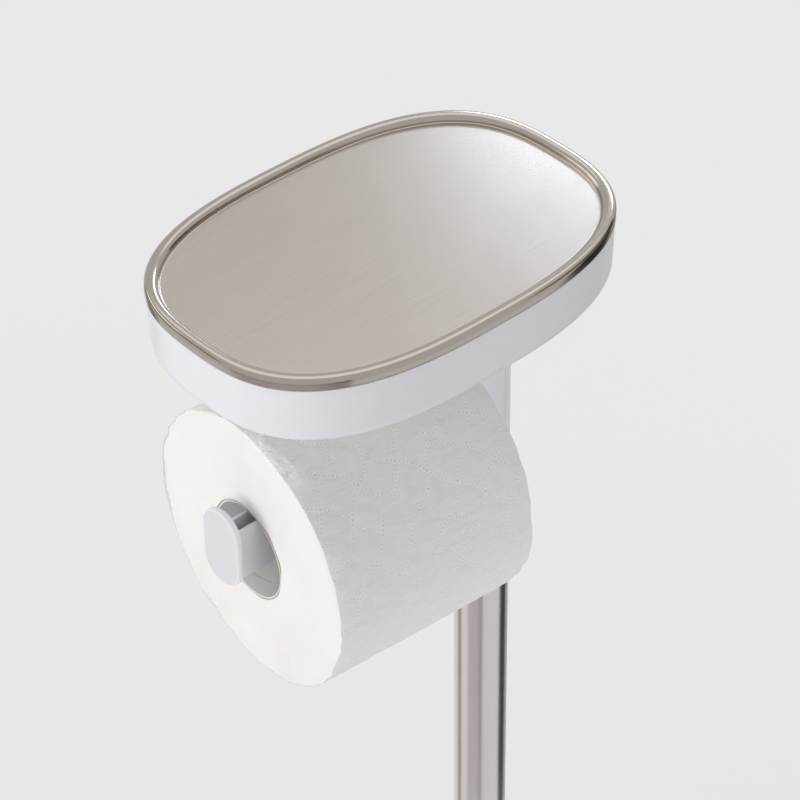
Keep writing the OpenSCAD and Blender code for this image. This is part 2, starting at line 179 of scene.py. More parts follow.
class Value:
    """One output socket of a shader tree, with Math nodes behind its operators"""

    def __init__(self, tree, socket):
        self.tree = tree
        self.socket = socket

    def math(self, operation, other=None, swapped=False):
        node = self.tree.nodes.new("ShaderNodeMath")
        node.operation = operation
        pair = [self] if other is None else ([other, self] if swapped else [self, other])
        for slot, item in zip(node.inputs, pair):
            connect(self.tree, slot, item)
        return Value(self.tree, node.outputs[0])

    def __add__(self, other):
        return self.math("ADD", other)

    def __radd__(self, other):
        return self.math("ADD", other, swapped=True)

    def __sub__(self, other):
        return self.math("SUBTRACT", other)

    def __rsub__(self, other):
        return self.math("SUBTRACT", other, swapped=True)

    def __mul__(self, other):
        return self.math("MULTIPLY", other)

    def __rmul__(self, other):
        return self.math("MULTIPLY", other, swapped=True)

    def __truediv__(self, other):
        return self.math("DIVIDE", other)

    def __rtruediv__(self, other):
        return self.math("DIVIDE", other, swapped=True)

    def __abs__(self):
        return self.math("ABSOLUTE")

    def sine(self):
        return self.math("SINE")

    def root(self):
        return self.math("SQRT")

    def ping_pong(self, width):
        return self.math("PINGPONG", width)

    def at_most(self, other):
        return self.math("MINIMUM", other)


def connect(tree, socket, item):
    """Links a value to a socket, or sets the socket where the item is a plain number or colour."""
    if isinstance(item, Value):
        tree.links.new(item.socket, socket)
    else:
        socket.default_value = item


class Finish:
    """A procedural tree of shader nodes, behind a new material or the world"""

    def __init__(self, name, world=False):
        self.owner = (bpy.data.worlds if world else bpy.data.materials).new(name)
        self.owner.use_nodes = True
        self.tree = self.owner.node_tree
        self.tree.nodes.clear()
        output = self.tree.nodes.new("ShaderNodeOutputWorld" if world else "ShaderNodeOutputMaterial")
        self.last_socket = output.inputs["Surface"]

    def node(self, kind, settings=None, out=0, numbered=None, **named):
        """Adds a node, sets its settings, then its sockets by number or name, and gives one output."""
        node = self.tree.nodes.new("ShaderNode" + kind)
        for key, setting in (settings or {}).items():
            setattr(node, key, setting)
        for number, item in (numbered or {}).items():
            connect(self.tree, node.inputs[number], item)
        for key, item in named.items():
            connect(self.tree, node.inputs[key.replace("_", " ")], item)
        return Value(self.tree, node.outputs[out])

    def place(self, turn=(0.0, 0.0, 0.0), stretch=(1.0, 1.0, 1.0)):
        """Object coordinates, stretched and turned about the origin."""
        point = self.node("TexCoord", out="Object")
        return self.node("Mapping", Vector=point, Rotation=turn, Scale=stretch)

    def parts(self, vector):
        """The three numbers of a vector."""
        split = self.node("SeparateXYZ", Vector=vector)
        return [Value(self.tree, socket) for socket in split.socket.node.outputs]

    def grain(self, vector, scale, detail=3.0, roughness=0.55):
        """Noise between 0 and 1."""
        return self.node(
            "TexNoise", out="Fac", Vector=vector, Scale=scale, Detail=detail, Roughness=roughness
        )

    def streaks(self, vector, stretch, turn=(0.0, 0.0, 0.0), detail=3.0, roughness=0.55):
        """Noise between 0 and 1, drawn out along the axis of a map whose stretch is small."""
        place = self.node("Mapping", Vector=vector, Rotation=turn, Scale=stretch)
        return self.grain(place, 1.0, detail, roughness)

    def ramp(self, value, low, high, start=0.0, end=1.0):
        """Value brought from low..high to start..end, without passing them."""
        return self.node(
            "MapRange", {"clamp": True}, Value=value,
            From_Min=low, From_Max=high, To_Min=start, To_Max=end,
        )

    def full(self, grain):
        """Noise spread out to fill 0 to 1."""
        return self.ramp(grain, 0.3, 0.7)

    def blend(self, factor, first, second):
        """First where factor is 0 and second where it is 1, as colours."""
        return self.node(
            "Mix", {"data_type": "RGBA", "clamp_factor": True}, out=2,
            numbered={0: factor, 6: first, 7: second},
        )

    def shades(self, factor, colour, deep, light):
        """A colour, from its deep gain where factor is 0 to its light one where it is 1."""
        return self.blend(factor, rgba(colour, deep), rgba(colour, light))

    def bump(self, height, distance, strength=1.0, normal=None):
        """A Bump node over a height, its distance in metres."""
        values = {"Height": height, "Distance": distance, "Strength": strength}
        if normal is not None:
            values["Normal"] = normal
        return self.node("Bump", **values)

    def close(self, shader):
        """Ends the tree in a shader."""
        connect(self.tree, self.last_socket, shader)
        return self.owner

    def surface(self, **values):
        """Ends the tree in a Principled shader, its constants on its own sockets."""
        return self.close(self.node("BsdfPrincipled", **values))

    def fade(self, factor, colour):
        """Lets the surface give way to a plain glow of the colour where factor is 1."""
        surface = Value(self.tree, self.last_socket.links[0].from_socket)
        glow = self.node("Emission", Color=colour, Strength=1.0)
        self.close(self.node("MixShader", numbered={0: factor, 1: surface, 2: glow}))

    def watched(self):
        """1 on the rays that see the backdrop, and 0 on those that carry light to the holder."""
        return sum(self.node("LightPath", out=name) for name in PALE_RAYS).at_most(1.0)


def rgba(colour, gain=1.0):
    """A colour with its alpha, made lighter or darker by gain."""
    return (*(min(channel * gain, 1.0) for channel in colour), 1.0)


FINISHES = {}


def finish(name):
    """The named material, made on first use."""
    if name not in FINISHES:
        FINISHES[name] = FINISH_MAKERS[name](bpy.context.scene.holder_colours)
    return FINISHES[name]


def brushed_steel(name, colour, stretch, roughness, polish_and_painted_shade_from=None):
    """Satin steel with fine hairlines along the axis whose stretch is small.

    Above a height, where one is given, it is smoother, and its colour is darker as painted shade that dims
    its reflections.
    """
    made = Finish(name)
    lines = made.grain(made.place(stretch=stretch), 1.0, detail=4.0, roughness=0.7)
    broad = made.grain(made.place(), 18.0, detail=2.0)
    tone = made.shades(made.full(lines) * 0.65 + made.full(broad) * 0.35, colour, 0.955, 1.045)
    rough = made.ramp(lines, 0.25, 0.75, roughness - 0.03, roughness + 0.04)
    if polish_and_painted_shade_from is not None:
        above = made.ramp(made.parts(made.place())[2], polish_and_painted_shade_from, polish_and_painted_shade_from + 0.5 * MM)
        # On the bead the steel's colour is darkened as painted shade, standing in for darker reflections
        # there
        tone = made.blend(above, tone, rgba(colour, 0.86))
        rough = rough * (1.0 - above * 0.4)
    return made.surface(
        Base_Color=tone,
        Metallic=1.0,
        Roughness=rough,
        Normal=made.bump(lines, 0.004 * MM, 0.3),
    )


def steel_tray(colours):
    """Hairlines along the tray, smoother on its bead, where the colour is darkened with painted shade."""
    bead_foot = tray_floor(bpy.context.scene.holder_sizes) + 0.2 * MM
    return brushed_steel("steel_tray", colours.steel, (40.0, 4200.0, 4200.0), 0.216, bead_foot)


def steel_tube(colours):
    """Hairlines round the pole."""
    return brushed_steel("steel_tube", colours.tube, (3000.0, 3000.0, 45.0), 0.23)


def steel_base(colours):
    """Hairlines across the base."""
    return brushed_steel("steel_base", colours.tube, (60.0, 2800.0, 2800.0), 0.30)


def white_moulding(colours):
    """Satin white plastic with a faint spark texture and a trace of tone."""
    made = Finish("white_moulding")
    cloud = made.grain(made.place(), 14.0, detail=2.0)
    skin = made.grain(made.place(), 2600.0, detail=2.0)
    return made.surface(
        Base_Color=made.shades(made.full(cloud), colours.white, 0.985, 1.01),
        Roughness=made.ramp(cloud, 0.25, 0.75, 0.30, 0.36),
        Normal=made.bump(skin, 0.01 * MM, 0.25),
        IOR=1.5,
        Subsurface_Weight=0.06,
        Subsurface_Scale=0.002,
    )


def white_cap(colours):
    """The end cap: its flat face a shade deeper than the rounded rim round it."""
    made = Finish("white_cap")
    cloud = made.grain(made.place(), 22.0, detail=2.0)
    skin = made.grain(made.place(), 2600.0, detail=2.0)
    rim = made.ramp(made.parts(made.place())[0], CAP_LOW.x + 0.03 * MM, CAP_LOW.x + 0.3 * MM)
    face = made.shades(made.full(cloud), colours.white, 0.86, 0.90)
    return made.surface(
        Base_Color=made.blend(rim, face, rgba(colours.white, 1.08)),
        Roughness=made.ramp(cloud, 0.25, 0.75, 0.34, 0.42),
        Normal=made.bump(skin, 0.01 * MM, 0.25),
        IOR=1.5,
    )


def plated_zinc(colours):
    """Bright plated screws with a slightly cloudy surface."""
    made = Finish("plated_zinc")
    cloud = made.grain(made.place(), 260.0, detail=4.0)
    return made.surface(
        Base_Color=made.shades(made.full(cloud), colours.zinc, 0.85, 1.08),
        Metallic=1.0,
        Roughness=made.ramp(cloud, 0.3, 0.7, 0.24, 0.42),
        Normal=made.bump(cloud, 0.02 * MM, 0.5),
    )


def black_iron(colours):
    """Dipped cast iron with its sandy skin."""
    made = Finish("black_iron")
    sand = made.grain(made.place(), 420.0, detail=6.0, roughness=0.65)
    return made.surface(
        Base_Color=made.blend(made.full(sand), rgba((0.018, 0.018, 0.020)), rgba((0.055, 0.055, 0.058))),
        Roughness=made.ramp(sand, 0.3, 0.7, 0.45, 0.75),
        Normal=made.bump(sand, 0.25 * MM, 0.8),
    )


def soft_pad(colours):
    """Dark closed-cell pad."""
    made = Finish("soft_pad")
    cells = made.node("TexVoronoi", {"feature": "F1"}, Vector=made.place(), Scale=900.0)
    return made.surface(
        Base_Color=made.blend(cells, rgba((0.022, 0.022, 0.024)), rgba((0.045, 0.045, 0.047))),
        Roughness=0.92,
        Normal=made.bump(cells, 0.12 * MM, 0.7),
    )


def dot_distance(sizes, around, across):
    """How far a place on the roll's outside is from the nearest embossed dot."""
    one, two = (across * a + around * b + c for a, b, c in lattice_rows(sizes))
    nearest = []
    for line, along, wave, phase in (
        (two, one, sizes.cell_waves[0], LATTICE_PHASES[0]),
        (one, two, sizes.cell_waves[1], LATTICE_PHASES[1]),
    ):
        gap = (line - (along * math.pi + phase).sine() * wave).ping_pong(0.5) * sizes.cell_side
        step = (along * sizes.dots_per_side).ping_pong(0.5) * (sizes.cell_side / sizes.dots_per_side)
        nearest.append((gap * gap + step * step).root())
    return nearest[0].at_most(nearest[1])


def embossed_paper(colours):
    """Tissue with a dotted lattice on the outside and fine edges of the turns on the ends."""
    sizes = bpy.context.scene.holder_sizes
    made = Finish("embossed_paper")
    wrap = made.node("UVMap", {"uv_map": "wrap"})
    around, across, _ = made.parts(wrap)
    half = sizes.roll_width / 2
    outside = made.ramp(abs(across), half - 0.6 * MM, half, 1.0, 0.0)
    faces = 1.0 - outside

    # Outside: creped and creased, each embossed dot a pit in a raised ring; the pit is darkened with
    # painted shade and the ring made paler with a painted highlight
    distance = dot_distance(sizes, around, across)
    uneven = made.ramp(made.streaks(wrap, (260.0, 260.0, 1.0)), 0.35, 0.65, 0.25, 1.0)
    pit_depth_and_shade = made.ramp(distance, 0.22 * MM, 0.62 * MM, 1.0, 0.0) * outside * uneven
    ring_height_and_highlight = made.ramp(distance, 0.75 * MM, 1.15 * MM, 1.0, 0.0) * outside * uneven
    fibres = made.grain(made.place(), 900.0, detail=6.0, roughness=0.7)
    crepe = made.streaks(wrap, (1500.0, 260.0, 1.0))
    creases = made.streaks(wrap, (330.0, 90.0, 1.0), turn=(0.0, 0.0, 0.9))
    creped = made.shades(made.full(fibres) * 0.5 + made.full(creases) * 0.5, colours.paper, 0.955, 1.015)
    # Painted highlight on the raised rings, then painted shade in the pits
    ring_highlighted = made.blend(ring_height_and_highlight * 0.75, creped, rgba((1.0, 0.99, 0.955)))
    dotted = made.blend(pit_depth_and_shade * 0.75, ring_highlighted, rgba(colours.paper, 0.71))
    fine = made.bump((crepe * 0.5 + fibres * 0.5) * outside, 0.05 * MM, 0.8)
    soft = made.bump(creases * outside, 0.85 * MM, 0.65, normal=fine)
    pressed = made.bump((ring_height_and_highlight - pit_depth_and_shade) * 0.5, 0.38 * MM, 0.8, normal=soft)

    # Ends: edges of the turns, with soft folds where the paper hangs under the core, and painted shade
    # that darkens those folds low on each face
    turns = made.streaks(wrap, (22.0, 3400.0, 1.0), detail=4.0)
    patches = made.grain(made.place(), 42.0, detail=2.0)
    folds = made.grain(made.place((0.0, 0.5, 0.0), (1.0, 38.0, 16.0)), 1.0, detail=2.0)
    height = made.parts(made.place())[2]
    low_fold_and_shade_mask = made.ramp(height, ROLL_MIDDLE.z - sizes.roll_radius, ROLL_MIDDLE.z - 12 * MM, 1.0, 0.0)
    edges = made.ramp(turns, 0.3, 0.72) * 0.5 + made.ramp(patches, 0.35, 0.65) * 0.5
    wound = made.shades(edges, colours.paper, 0.975, 1.02)
    # Painted shade: the lower folds darkened towards a warm grey
    fold_painted_shade = made.blend(made.ramp(folds, 0.35, 0.65) * low_fold_and_shade_mask * 0.6, wound, rgba((0.80, 0.775, 0.745)))

    # Crushed stretch of the rim: torn, and turned over towards the face, its colour painted with light and
    # shade over the crumples
    length = 2 * math.pi * sizes.roll_radius
    past_middle = abs(around - CRUMPLE_TURN * length)
    stretch = made.ramp(past_middle, 0.02 * length, CRUMPLE_REACH * length, 1.0, 0.0)
    crushed = stretch * made.ramp(abs(across + half - 1.5 * MM), 1.5 * MM, 6 * MM, 1.0, 0.0)
    inward = across + half + (patches - 0.5) * (9 * MM)
    turned = stretch * made.ramp(inward, 0.0, 7 * MM, 1.0, 0.0) * outside
    crush = made.streaks(wrap, (520.0, 700.0, 1.0), detail=4.0, roughness=0.65)
    # Painted highlight and shade: paler where the crumples stand up, darker between them
    crush_painted_light = made.blend(made.ramp(crush, 0.40, 0.54), rgba(colours.paper, 0.92), rgba((1.0, 1.0, 0.985)))
    torn = made.bump(crush * crushed * 0.3 - turned, 2.8 * MM, 1.0, normal=pressed)
    draped = made.bump(folds * low_fold_and_shade_mask * faces, 5 * MM, 0.6, normal=torn)
    return made.surface(
        Base_Color=made.blend(crushed, made.blend(outside, fold_painted_shade, dotted), crush_painted_light),
        Roughness=0.95,
        Normal=made.bump(turns * faces, 0.10 * MM, 0.35, normal=draped),
        Specular_IOR_Level=0.2,
        Sheen_Weight=0.15,
        Sheen_Roughness=0.6,
        Subsurface_Weight=0.12,
        Subsurface_Scale=0.003,
    )


def wound_board(colours):
    """Pale grey board wound in a spiral, brown where its ends are cut."""
    sizes = bpy.context.scene.holder_sizes
    made = Finish("wound_board")
    wrap = made.node("UVMap", {"uv_map": "wrap"})
    around, across, _ = made.parts(wrap)
    turn_length = 2 * math.pi * sizes.core_radius
    strip = 55 * MM
    seam = (across / strip + around / turn_length).ping_pong(0.5)
    line = made.ramp(seam, 0.0, 0.012, 1.0, 0.0)
    fibres = made.streaks(wrap, (500.0, 1900.0, 1.0), detail=6.0, roughness=0.7)
    past = abs(across) - sizes.roll_width / 2
    cut = made.ramp(past, -0.1 * MM, 0.1 * MM)
    glued = made.ramp(past, 0.35 * sizes.core_board, 0.65 * sizes.core_board)
    tone = made.shades(made.full(fibres), colours.board, 0.92, 1.06)
    lined = made.blend(line * 0.35, tone, rgba(colours.board, 0.62))
    ended = made.blend(glued, rgba((0.80, 0.775, 0.74)), rgba((0.50, 0.41, 0.31)))
    return made.surface(
        Base_Color=made.blend(cut, lined, ended),
        Roughness=0.9,
        Normal=made.bump(fibres * 0.4 - line, 0.12 * MM, 0.7),
        Specular_IOR_Level=0.25,
    )


FINISH_MAKERS = {
    maker.__name__: maker for maker in (
        steel_tray, steel_tube, steel_base, white_moulding, white_cap,
        plated_zinc, black_iron, soft_pad, embossed_paper, wound_board,
    )
}


# Modelling steps that several pieces share


def deselect_everything():
    """Leaves nothing selected or active."""
    if bpy.context.object is not None and bpy.context.object.mode != "OBJECT":
        bpy.ops.object.mode_set(mode="OBJECT")
    bpy.ops.object.select_all(action="DESELECT")


def choose(piece):
    """Makes a piece the only selected one, and the active one."""
    deselect_everything()
    piece.select_set(True)
    bpy.context.view_layer.objects.active = piece


def name_piece(name):
    """Names the primitive that was just added, and its mesh."""
    piece = bpy.context.object
    piece.name = name
    piece.data.name = name
    return piece


def close_and_orient():
    """In edit mode: welds coincident points and turns all faces outwards."""
    bpy.ops.mesh.select_all(action="SELECT")
    bpy.ops.mesh.remove_doubles(threshold=1e-7)
    bpy.ops.mesh.normals_make_consistent(inside=False)


def smooth(piece, degrees=32.0):
    """Shades a piece smooth across edges flatter than an angle."""
    choose(piece)
    bpy.ops.object.shade_smooth_by_angle(angle=math.radians(degrees))


def round_edges(piece, width, segments=3, degrees=40.0):
    """Bevels the sharp edges and applies the modifier."""
    choose(piece)
    bevel = piece.modifiers.new("edge radius", "BEVEL")
    bevel.width = width
    bevel.segments = segments
    bevel.limit_method = "ANGLE"
    bevel.angle_limit = math.radians(degrees)
    bpy.ops.object.modifier_apply(modifier=bevel.name)


def settle(piece, body, slot, material, *nodes):
    """Gives a finished piece its material and body, and hides the frame nodes that it stands for. The slot
    is not used.
    """
    piece.data.materials.clear()
    piece.data.materials.append(finish(material))
    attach(piece, body)
    if nodes:
        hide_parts(*nodes)


def dress(material, *nodes):
    """Puts a material on frame nodes that keep their own shape."""
    for node in nodes:
        for slot in frame["nodes"][node].material_slots:
            slot.material = finish(material)


def rings(name, levels, steps, power=2.0, middle=(0.0, 0.0), closed=False):
    """A loft raised ring by ring: levels hold half length, half width and height.

    A closed loft ends on its first ring. Otherwise both end rings are filled.
    """
    deselect_everything()
    bpy.ops.mesh.primitive_circle_add(vertices=steps, radius=1.0)
    piece = name_piece(name)
    length, width, height = levels[0]
    for vertex in piece.data.vertices:
        angle = math.atan2(vertex.co.y, vertex.co.x)
        reach = (abs(math.cos(angle)) ** power + abs(math.sin(angle)) ** power) ** (-1 / power)
        vertex.co = (length * reach * math.cos(angle), width * reach * math.sin(angle), height)
    bpy.ops.object.mode_set(mode="EDIT")
    bpy.ops.mesh.select_all(action="SELECT")
    for (l0, w0, z0), (l1, w1, z1) in zip(levels, levels[1:]):
        bpy.ops.mesh.extrude_region_move(TRANSFORM_OT_translate={"value": (0.0, 0.0, z1 - z0)})
        bpy.ops.transform.resize(value=(l1 / l0, w1 / w0, 1.0), center_override=(0.0, 0.0, 0.0))
    if not closed:
        bpy.ops.mesh.select_all(action="SELECT")
        bpy.ops.mesh.region_to_loop()
        bpy.ops.mesh.edge_face_add()
    close_and_orient()
    bpy.ops.mesh.select_all(action="SELECT")
    bpy.ops.transform.translate(value=(middle[0], middle[1], 0.0))
    bpy.ops.object.mode_set(mode="OBJECT")
    return piece


def lathed(name, section, steps, middle=(0.0, 0.0), closed=False):
    """A round piece from a section of radii and heights."""
    return rings(name, [(r, r, z) for r, z in section], steps, middle=middle, closed=closed)


def slab(name, outline, travel):
    """A flat outline, given as points in space, filled and pushed along a vector."""
    deselect_everything()
    bpy.ops.mesh.primitive_circle_add(vertices=len(outline), radius=1.0)
    piece = name_piece(name)
    for vertex, point in zip(piece.data.vertices, outline):
        vertex.co = point
    bpy.ops.object.mode_set(mode="EDIT")
    bpy.ops.mesh.select_all(action="SELECT")
    bpy.ops.mesh.edge_face_add()
    bpy.ops.mesh.extrude_region_move(TRANSFORM_OT_translate={"value": tuple(travel)})
    close_and_orient()
    bpy.ops.object.mode_set(mode="OBJECT")
    return piece


def arc(middle, radius, start, end, steps):
    """Points of an arc in a plane, both ends included, angles in degrees."""
    points = []
    for k in range(steps + 1):
        angle = math.radians(start + (end - start) * k / steps)
        points.append((middle[0] + radius * math.cos(angle), middle[1] + radius * math.sin(angle)))
    return points


def hem(radius, power, steps):
    """Half a round, from +x over the top to -x, whose +x side is flatter the higher the power."""
    points = []
    for step in range(steps + 1):
        angle = math.pi * step / steps
        x, z = math.cos(angle), max(math.sin(angle), 0.0)
        bend = 2 / power if x > 0 else 1.0
        points.append((radius * math.copysign(abs(x) ** bend, x), radius * z ** bend))
    return points


def wrapped(name, along, place, turns=360):
    """A grid wrapped round the roll's axis.

    For a turn and a row, place gives the radius, the position along the axis, the length of a full
    turn and the way across. The map called wrap holds, in metres, the way round and the way across.
    The last column but one stops just short of a full turn, and the last one closes on the first.
    """
    last_turn = 0.9997
    deselect_everything()
    bpy.ops.mesh.primitive_grid_add(x_subdivisions=turns, y_subdivisions=along, size=2.0, calc_uvs=True)
    piece = name_piece(name)
    piece.data.uv_layers[0].name = "wrap"
    side = Vector((-ROLL_AXIS.y, ROLL_AXIS.x, 0.0))
    up = Vector((0.0, 0.0, 1.0))
    flat = {}
    for vertex in piece.data.vertices:
        column = round((vertex.co.x + 1) / 2 * turns)
        row = round((vertex.co.y + 1) / 2 * along)
        turn = min(column / (turns - 1), last_turn) if column < turns else 0.0
        radius, position, way_round, way_across = place(turn, row)
        flat[vertex.index] = (way_round * (turn if column < turns else 1.0), way_across)
        spoke = side * math.cos(turn * 2 * math.pi) + up * math.sin(turn * 2 * math.pi)
        vertex.co = ROLL_MIDDLE + ROLL_AXIS * position + spoke * radius
    layer = piece.data.uv_layers["wrap"].data
    for loop in piece.data.loops:
        layer[loop.index].uv = flat[loop.vertex_index]
    bpy.ops.object.mode_set(mode="EDIT")
    close_and_orient()
    bpy.ops.object.mode_set(mode="OBJECT")
    return piece


# Tray, tub and their fixings


def tray_floor(sizes):
    """Height of the tray's floor."""
    return TRAY_HIGH.z - sizes.bead - sizes.bead_rise


def tray_levels(sizes):
    """Section of the pressed tray, from under its floor round the rim to the top of its floor."""
    floor_z = tray_floor(sizes)
    foot_z = TRAY_LOW.z - floor_z
    sheet, bead, rise = sizes.sheet, sizes.bead, sizes.bead_rise
    inner = 2 * bead
    flat = 2.6 * MM
    foot_edge = 0.12 * MM
    foot_break = 0.10 * MM
    root = 0.45 * MM
    section = [
        (inner + flat, -sheet), (inner, -sheet),
        (inner - sheet * 0.6, -sheet * 0.85), (inner - sheet * 0.95, -sheet * 0.4),
    ]
    section += [(bead - x, z + rise) for x, z in arc((0, 0), bead - sheet, 180, 0, 14)]
    section += [(sheet, foot_z + foot_break), (sheet - foot_edge, foot_z)]
    section += [(foot_edge, foot_z), (0.0, foot_z + foot_edge)]
    section += [(bead - x, z + rise) for x, z in hem(bead, sizes.bead_power, 28)]
    section += [(inner - x, z) for x, z in arc((-root, root), root, 0, -90, 5)]
    section += [(inner + 1.4 * MM, 0.0), (inner + flat, 0.0)]
    return [(TRAY_HIGH.x - inset, TRAY_HIGH.y - inset, floor_z + z) for inset, z in section]


class HOLDER_OT_tray(bpy.types.Operator):
    """Press the steel tray with its rolled rim and finish the backer under it"""

    bl_idname = "holder.tray"
    bl_label = "Tray"

    def execute(self, context):
        sizes = context.scene.holder_sizes
        piece = rings("tray_steel", tray_levels(sizes), sizes.oval_steps, sizes.oval_power)
        smooth(piece, 40.0)
        settle(piece, "tray", "brushed_steel", "steel_tray", "tray_pressing")
        dress("white_moulding", "tray_backer")
        return {"FINISHED"}


def tub_levels(sizes):
    """Section of the tub, from under its floor over the wall's top to the floor inside."""
    half_length = TUB_HIGH.x + sizes.tub_inset
    half_width = TUB_HIGH.y + sizes.tub_inset
    height = TUB_HIGH.z - TUB_LOW.z
    inset, wall, draft, edge = sizes.tub_inset, sizes.tub_wall, sizes.tub_draft, sizes.tub_edge
    low = inset + draft
    inner = inset + wall
    inner_edge = edge - wall
    flat = 3 * MM
    lip = 0.35 * MM
    section = [(low + edge + flat, 0.0)]
    section += [(low + edge - x, edge + z) for x, z in arc((0, 0), edge, -90, 0, 14)]
    section += [(inset + draft * (1 - k / 4), edge + (height - lip - edge) * k / 4) for k in range(1, 4)]
    section += [(inset + lip - x, height - lip + z) for x, z in arc((0, 0), lip, 0, 90, 4)]
    section += [(inner - lip - x, height - lip + z) for x, z in arc((0, 0), lip, 90, 180, 4)]
    base = sizes.tub_floor + inner_edge
    section += [(inner + draft + inner_edge - x, base + z) for x, z in arc((0, 0), inner_edge, 0, -90, 8)]
    section += [(inner + draft + inner_edge + flat, sizes.tub_floor)]
    return [(half_length - i, half_width - i, TUB_LOW.z + z) for i, z in section]


class HOLDER_OT_tub(bpy.types.Operator):
    """Mould the storage tub and finish the fixings inside it"""

    bl_idname = "holder.tub"
    bl_label = "Storage Tub"

    def execute(self, context):
        sizes = context.scene.holder_sizes
        piece = rings("storage_tub", tub_levels(sizes), sizes.oval_steps, sizes.oval_power)
        smooth(piece, 40.0)
        settle(piece, "stand", "white_plastic", "white_moulding", "tub")
        dress("plated_zinc", "tub_screws", "head_bolt", "head_washer", "arm_screws")
        return {"FINISHED"}


# Column, arm and end cap


def column_outline(front, steps=12):
    """Plan of the front moulding or the rear cover, about the pole's axis."""
    radius = (POLE_HIGH.x - POLE_LOW.x) / 2
    axis_x = (POLE_HIGH.x + POLE_LOW.x) / 2
    seam_x = COLUMN_LOW.x - axis_x
    split = math.degrees(math.acos(seam_x / radius))
    if not front:
        return [(axis_x + x, y) for x, y in arc((0, 0), radius, -split, split, 4 * steps)]
    front_x = COLUMN_FRONT_LOW.x - axis_x
    gap = 0.15 * MM
    split = math.degrees(math.acos((seam_x - gap) / radius))
    corner = 4.0 * MM
    points = arc((0, 0), radius, split, 90, 4)
    points += arc((front_x + corner, radius - corner), corner, 90, 180, steps)
    points += arc((front_x + corner, corner - radius), corner, 180, 270, steps)
    points += arc((0, 0), radius, 270, 360 - split, 4)
    return [(axis_x + x, y) for x, y in points]


class HOLDER_OT_column(bpy.types.Operator):
    """Mould the two halves of the column, with the fine seam between them"""

    bl_idname = "holder.column"
    bl_label = "Column"

    def execute(self, context):
        sizes = context.scene.holder_sizes
        travel = (0.0, 0.0, COLUMN_HIGH.z - COLUMN_LOW.z)
        for name, node, front in (
            ("column_front", "column_front_shell", True),
            ("column_back", "column_rear_cover", False),
        ):
            outline = [(x, y, COLUMN_LOW.z) for x, y in column_outline(front)]
            piece = slab(name, outline, travel)
            round_edges(piece, sizes.moulding_edge)
            smooth(piece, 30.0)
            settle(piece, "stand", "white_plastic", "white_moulding", node)
        return {"FINISHED"}


def channel_outline():
    """Section of the arm: a deep channel, open at the top, with rounded lower corners."""
    half = 4.5 * MM
    wall = 1.5 * MM
    floor = 2.0 * MM
    edge = 1.2 * MM
    fillet = 0.8 * MM
    low = ARM_SECTION_LOW
    high = ARM_SECTION_HIGH
    points = arc((half - edge, low + edge), edge, -90, 0, 6)
    points += [(half, high), (half - wall, high)]
    points += arc((half - wall - fillet, low + floor + fillet), fillet, 0, -90, 5)
    points += arc((wall + fillet - half, low + floor + fillet), fillet, 270, 180, 5)
    points += [(wall - half, high), (-half, high)]
    points += arc((edge - half, low + edge), edge, 180, 270, 6)
    return points


class HOLDER_OT_arm(bpy.types.Operator):
    """Mould the roll arm and its oblong end cap"""

    bl_idname = "holder.arm"
    bl_label = "Roll Arm"

    def execute(self, context):
        sizes = context.scene.holder_sizes
        root = 3 * MM
        start_x = CAP_LOW.x + CAP_PLATE
        end_x = COLUMN_FRONT_LOW.x + root
        outline = [(start_x, y, z) for y, z in channel_outline()]
        arm = slab("roll_arm_channel", outline, (end_x - start_x, 0.0, 0.0))
        round_edges(arm, sizes.moulding_edge)
        smooth(arm, 30.0)
        settle(arm, "stand", "white_plastic", "white_moulding", "roll_arm")

        radius = (CAP_HIGH.y - CAP_LOW.y) / 2
        upper = arc((0.0, CAP_HIGH.z - radius), radius, 0, 180, 40)
        lower = arc((0.0, CAP_LOW.z + radius), radius, 180, 360, 40)
        outline = [(CAP_LOW.x, y, z) for y, z in upper + lower]
        cap = slab("oblong_end_cap", outline, (CAP_PLATE, 0.0, 0.0))
        round_edges(cap, sizes.cap_edge, segments=6)
        smooth(cap, 30.0)
        settle(cap, "stand", "white_plastic", "white_cap", "arm_end_cap")
        return {"FINISHED"}


# Pole and base


class HOLDER_OT_pole(bpy.types.Operator):
    """Draw the steel tube and turn the ferrule at its foot"""

    bl_idname = "holder.pole"
    bl_label = "Pole"

    def execute(self, context):
        sizes = context.scene.holder_sizes
        middle = ((POLE_LOW.x + POLE_HIGH.x) / 2, 0.0)
        radius = (POLE_HIGH.x - POLE_LOW.x) / 2
        wall = 1.0 * MM
        bore = radius - wall
        edge = 0.2 * MM
        low, high = POLE_LOW.z, POLE_HIGH.z
        section = [(bore, low), (radius - edge, low), (radius, low + edge), (radius, (low + high) / 2)]
        section += [(radius, high - edge), (radius - edge, high), (bore, high), (bore, low)]
        pole = lathed("steel_pole", section, sizes.round_steps, middle, closed=True)
        smooth(pole, 40.0)
        settle(pole, "stand", "brushed_steel", "steel_tube", "pole")

        low, high = FERRULE_LOW.z, FERRULE_HIGH.z
        outer = (FERRULE_HIGH.x - FERRULE_LOW.x) / 2
        fit = 0.1 * MM
        bore = radius + fit
        shoulder = 1.6 * MM
        chamfer = 0.4 * MM
        section = [(bore, low), (outer, low)]
        section += arc((outer - shoulder, high - shoulder), shoulder, 0, 90, 8)
        section += [(bore + chamfer, high), (bore, high - chamfer), (bore, low)]
        ferrule = lathed("pole_foot_ring", section, sizes.round_steps, middle, closed=True)
        smooth(ferrule, 40.0)
        settle(ferrule, "stand", "brushed_steel", "steel_tube", "pole_ferrule")
        dress("plated_zinc", "pole_top_insert", "pole_foot_insert")
        return {"FINISHED"}


